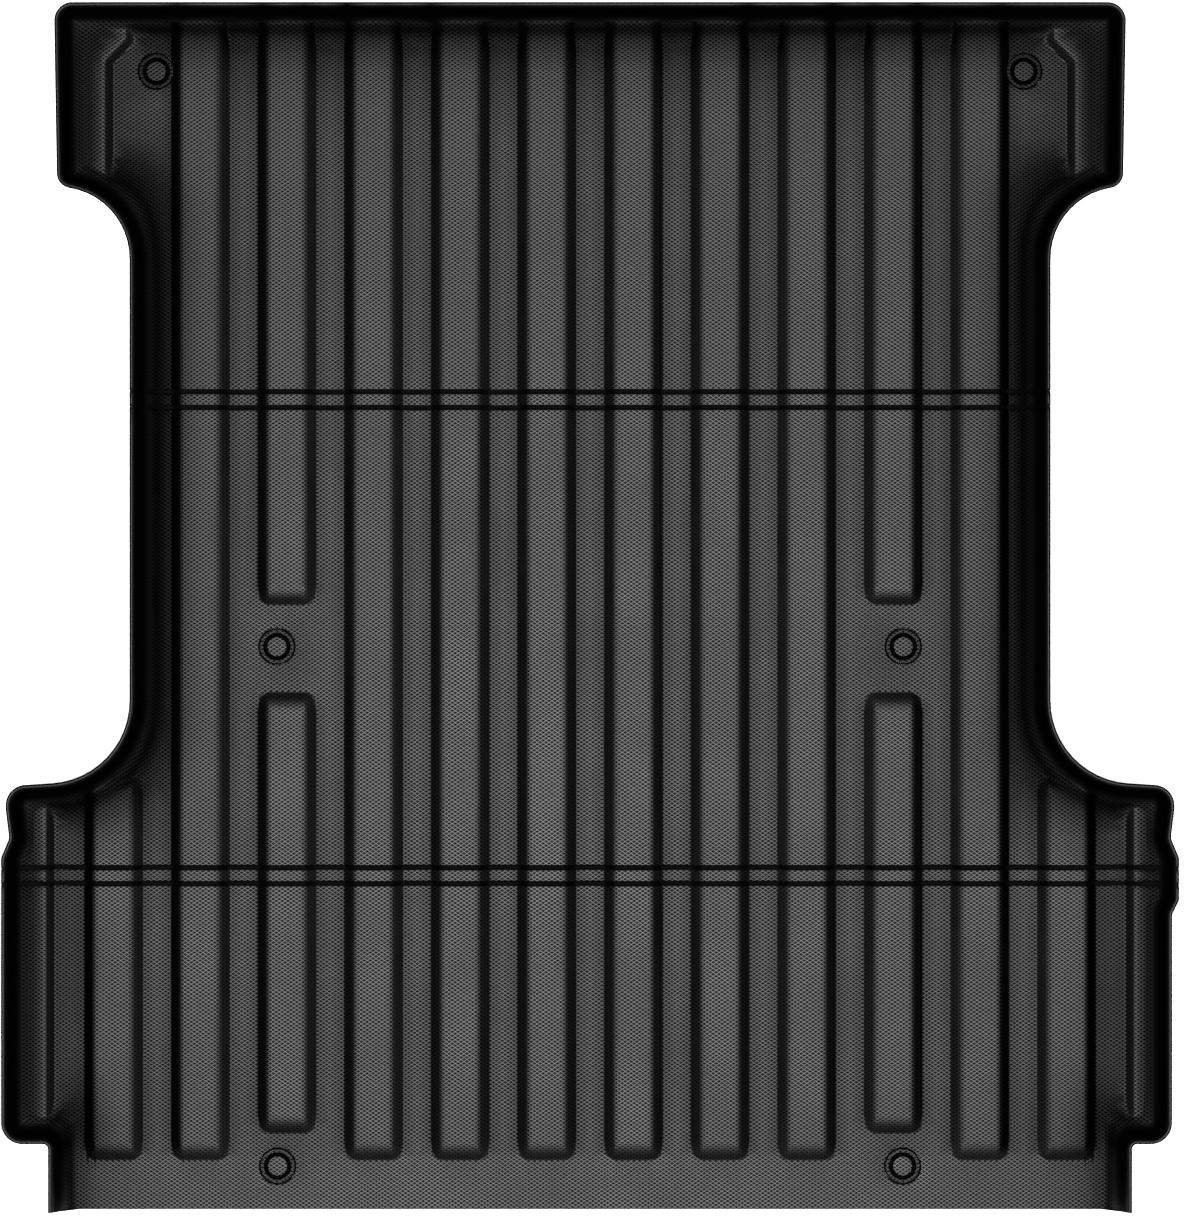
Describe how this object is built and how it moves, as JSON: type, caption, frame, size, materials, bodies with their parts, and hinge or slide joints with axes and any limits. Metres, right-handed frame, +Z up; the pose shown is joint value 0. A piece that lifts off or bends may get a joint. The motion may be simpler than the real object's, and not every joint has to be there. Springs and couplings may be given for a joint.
{
  "type": "truck bed liner",
  "caption": "Moulded rubber bed floor liner: a lipped tray with long raised ribs, wheel housing cut-outs, fold grooves and round bolt plugs.",
  "frame": {"origin": "middle of the underside, which lies on the bed floor: midway across the liner and midway along it", "axes": "+X to the truck's right seen from behind, +Y towards the cab, +Z up out of the bed floor"},
  "size_m": [1.6542, 1.7, 0.052],
  "materials": {
    "sheet": "black thermoplastic rubber moulded with a fine diamond grain, semi-matt",
    "web": "thin smooth black rubber at the foot of a fold groove",
    "plug": "black rubber with the same diamond grain as the sheet"
  },
  "bodies": {
    "centre": {"centre_panel": "sheet"},
    "front_strip": {"front_fold_strip": "sheet", "front_outer_web": "web", "front_inner_web": "web"},
    "front": {"front_panel": "sheet"},
    "rear_strip": {"rear_fold_strip": "sheet", "rear_inner_web": "web", "rear_outer_web": "web"},
    "rear": {"rear_panel": "sheet"},
    "plug_front_left": {"plug_front_left": "plug"},
    "plug_front_right": {"plug_front_right": "plug"},
    "plug_middle_left": {"plug_middle_left": "plug"},
    "plug_middle_right": {"plug_middle_right": "plug"},
    "plug_rear_left": {"plug_rear_left": "plug"},
    "plug_rear_right": {"plug_rear_right": "plug"}
  },
  "joints": [
    {"name": "front_inner_fold", "type": "hinge", "parent": "centre", "child": "front_strip", "pos_m": [0, 0.2822, 0], "axis": [-1, 0, 0], "range_deg": [0, 90]},
    {"name": "front_outer_fold", "type": "hinge", "parent": "front_strip", "child": "front", "pos_m": [0, 0.3045, 0], "axis": [-1, 0, 0], "range_deg": [0, 84]},
    {"name": "rear_inner_fold", "type": "hinge", "parent": "centre", "child": "rear_strip", "pos_m": [0, -0.3669, 0], "axis": [1, 0, 0], "range_deg": [0, 90]},
    {"name": "rear_outer_fold", "type": "hinge", "parent": "rear_strip", "child": "rear", "pos_m": [0, -0.3895, 0], "axis": [1, 0, 0], "range_deg": [0, 90]},
    {"name": "plug_front_left_lift", "type": "slide", "parent": "front", "child": "plug_front_left", "axis": [0, 0, 1], "range_m": [0, 0.01]},
    {"name": "plug_front_right_lift", "type": "slide", "parent": "front", "child": "plug_front_right", "axis": [0, 0, 1], "range_m": [0, 0.01]},
    {"name": "plug_middle_left_lift", "type": "slide", "parent": "centre", "child": "plug_middle_left", "axis": [0, 0, 1], "range_m": [0, 0.01]},
    {"name": "plug_middle_right_lift", "type": "slide", "parent": "centre", "child": "plug_middle_right", "axis": [0, 0, 1], "range_m": [0, 0.01]},
    {"name": "plug_rear_left_lift", "type": "slide", "parent": "rear", "child": "plug_rear_left", "axis": [0, 0, 1], "range_m": [0, 0.01]},
    {"name": "plug_rear_right_lift", "type": "slide", "parent": "rear", "child": "plug_rear_right", "axis": [0, 0, 1], "range_m": [0, 0.01]}
  ]
}
